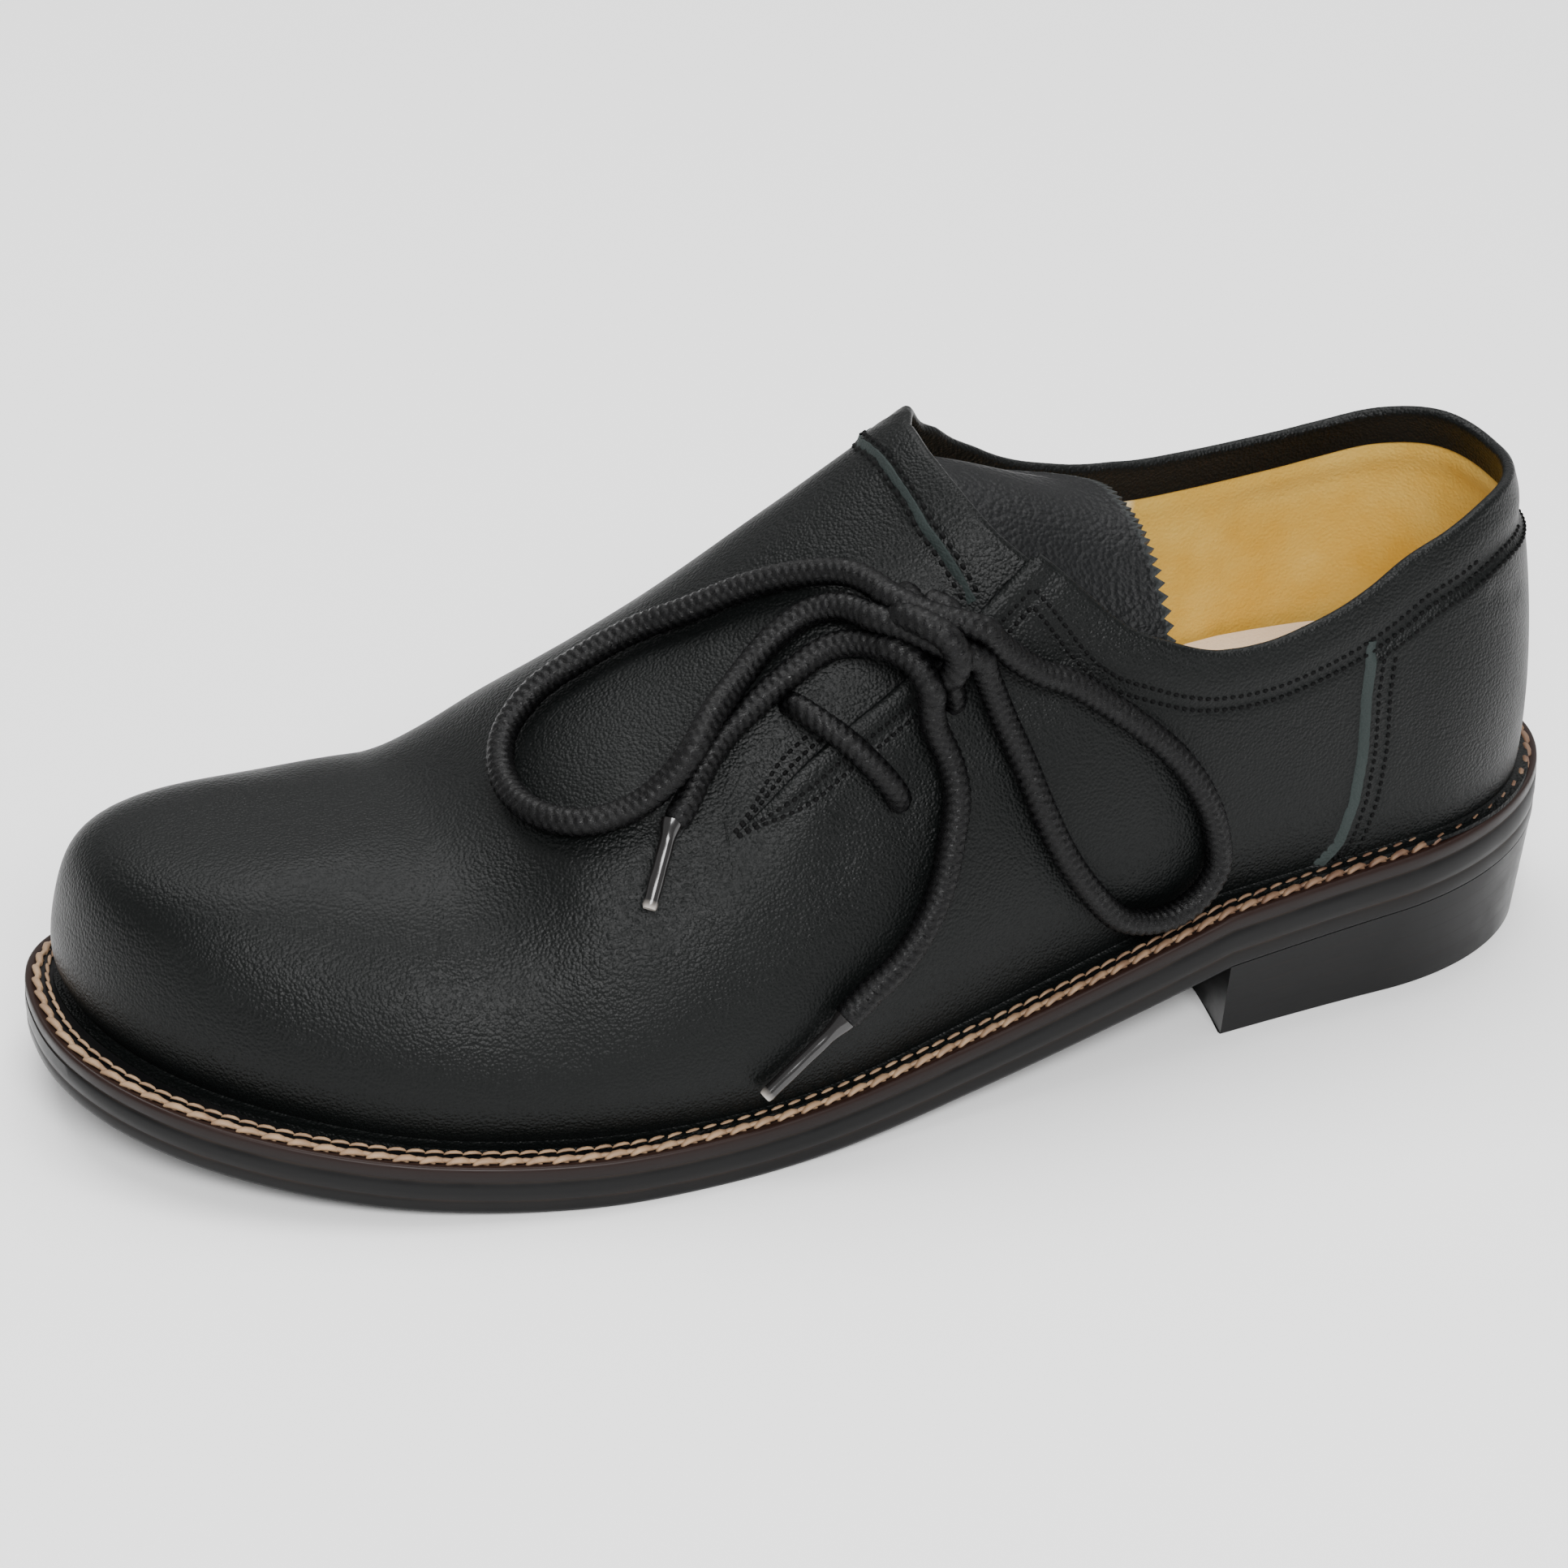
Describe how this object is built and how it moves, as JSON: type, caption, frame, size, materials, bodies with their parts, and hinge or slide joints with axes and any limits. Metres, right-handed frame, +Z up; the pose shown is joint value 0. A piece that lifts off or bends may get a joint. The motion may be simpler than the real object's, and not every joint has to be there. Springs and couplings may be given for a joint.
{
  "type": "haferl shoe",
  "caption": "Black leather haferl shoe for the left foot, side-laced with a cord bow, pinked tongue, wide stitched welt and stacked heel.",
  "frame": {"origin": "bottom centre of the shoe's bounding box, on the floor", "axes": "+Z up; toe towards -X, heel towards +X; the laced outer side of the foot towards -Y, the inner side towards +Y"},
  "size_m": [0.302, 0.1102, 0.1173],
  "materials": {
    "sole_edge": "satin black dressed edge",
    "heel_stack": "satin black stacked layers",
    "welt_leather": "matt dark brown-black",
    "insole_leather": "matt natural",
    "upper_leather": "satin black, fine grain",
    "facing_leather": "satin black",
    "tongue_leather": "black, pebbled grain",
    "lace_cord": "black round braid",
    "aglet_plastic": "glossy dark clear"
  },
  "bodies": {
    "root": {"outsole": "sole_edge", "midsole": "sole_edge", "heel": "heel_stack", "welt": "welt_leather", "insole": "insole_leather", "upper": "upper_leather", "heel_counter": "upper_leather", "vamp_band": "upper_leather", "collar_facing": "facing_leather", "tongue": "tongue_leather", "lace_bar_lower": "lace_cord", "lace_bar_upper": "lace_cord", "lace_knot": "lace_cord", "lace_loop_front": "lace_cord", "lace_end_front": "lace_cord", "lace_loop_rear": "lace_cord", "lace_end_rear": "lace_cord", "aglet_front": "aglet_plastic", "aglet_rear": "aglet_plastic"}
  },
  "joints": []
}
